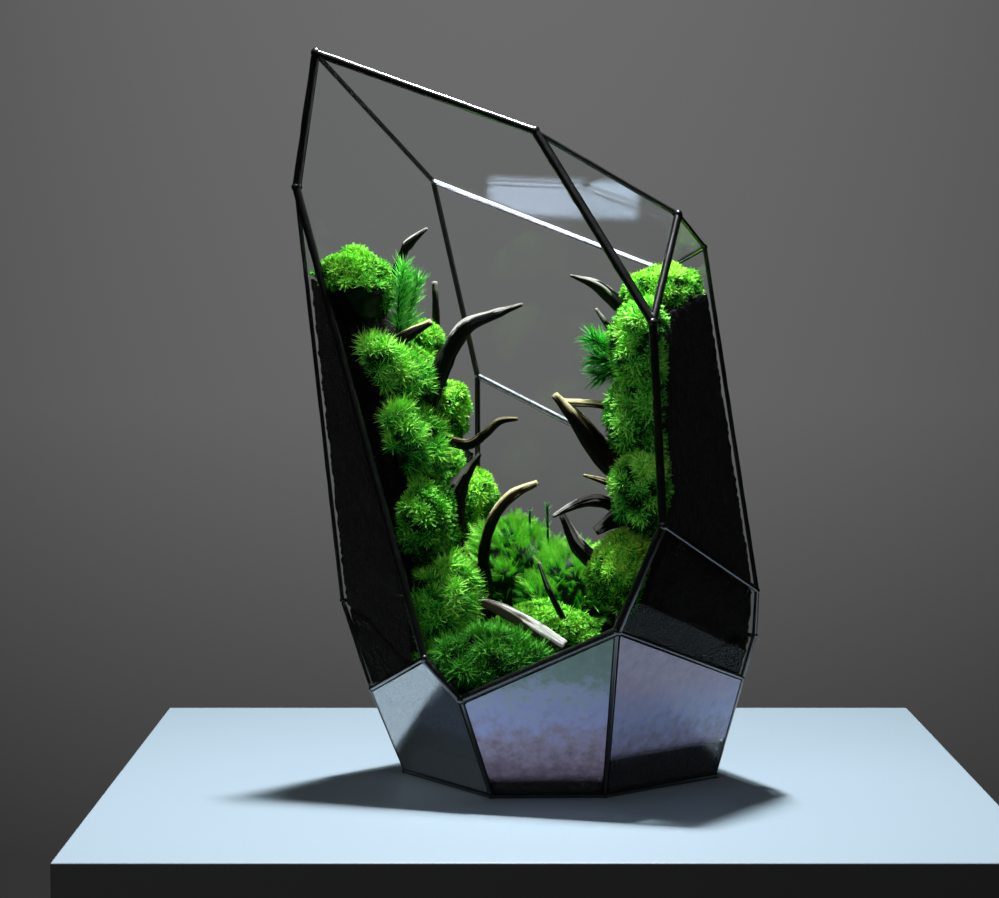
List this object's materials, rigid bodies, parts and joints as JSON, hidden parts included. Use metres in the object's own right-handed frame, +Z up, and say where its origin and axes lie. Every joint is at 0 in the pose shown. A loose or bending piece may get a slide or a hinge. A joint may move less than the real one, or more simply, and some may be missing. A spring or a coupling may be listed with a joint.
{
  "type": "planted glass terrarium",
  "caption": "Faceted leaded-glass terrarium with an open front window, planted with moss cushions, hair moss and driftwood on two dark soil banks.",
  "frame": {"origin": "middle of the whole object's bounding box in X and Y, at its lowest face, which is the flat underside of the foot's solder ring", "axes": "+Z up; -Y towards the open window and the camera; +X to the right as seen in the picture"},
  "size_m": [0.3176, 0.2716, 0.5024],
  "materials": {
    "clear_glass": "clear flat sheet glass, 3 mm",
    "black_solder": "tin-lead solder with a black patina, semi-gloss",
    "soil": "damp black crumbly substrate",
    "grit": "dark drainage grit, matte",
    "driftwood": "dark brown weathered wood, pale on top",
    "pale_wood": "barkless grey-white weathered wood",
    "cushion_moss": "dense cushion moss, soft matte green",
    "bright_moss": "yellow-green cushion moss, soft matte",
    "feather_moss": "loose feathery moss, soft matte deep green",
    "hair_moss": "narrow stiff moss leaves, deep green, slight sheen"
  },
  "bodies": {
    "root": {"window_rim": "black_solder", "base_rim": "black_solder", "solder_seams": "black_solder", "glass_top": "clear_glass", "glass_gable": "clear_glass", "glass_right": "clear_glass", "glass_right_low": "clear_glass", "glass_left": "clear_glass", "glass_back_left": "clear_glass", "glass_back_top": "clear_glass", "glass_back": "clear_glass", "glass_back_right": "clear_glass", "glass_skirt_front": "clear_glass", "glass_skirt_right": "clear_glass", "glass_skirt_left": "clear_glass", "glass_skirt_back_left": "clear_glass", "glass_skirt_back_right": "clear_glass", "glass_skirt_back": "clear_glass", "glass_corner_left": "clear_glass", "glass_corner_right": "clear_glass", "glass_base": "clear_glass", "drainage_grit": "grit", "soil_floor": "soil", "soil_bank_left": "soil", "soil_bank_right": "soil", "driftwood_hook": "driftwood", "driftwood_post": "driftwood", "driftwood_arch": "driftwood", "driftwood_limb": "driftwood", "driftwood_snake": "driftwood", "driftwood_stump": "driftwood", "driftwood_finger": "driftwood", "driftwood_log": "pale_wood", "driftwood_tusk": "driftwood", "driftwood_blade": "driftwood", "driftwood_splinter": "driftwood", "driftwood_claw": "driftwood", "driftwood_straw": "driftwood", "moss_dome_left": "cushion_moss", "moss_shelf_left": "feather_moss", "moss_slope_left": "cushion_moss", "moss_back_left": "bright_moss", "moss_middle_left": "feather_moss", "moss_inner_left": "cushion_moss", "moss_lower_left": "cushion_moss", "moss_pillow_back": "bright_moss", "moss_foot_left": "feather_moss", "moss_sill": "feather_moss", "moss_floor_back": "feather_moss", "moss_floor_right": "feather_moss", "moss_floor_front": "cushion_moss", "moss_crest_right": "bright_moss", "moss_upper_right": "cushion_moss", "moss_lower_right": "cushion_moss", "moss_foot_right": "bright_moss", "moss_far_right": "cushion_moss", "hair_moss_tall": "hair_moss", "hair_moss_tuft": "hair_moss", "moss_shoots": "hair_moss"}
  },
  "joints": []
}
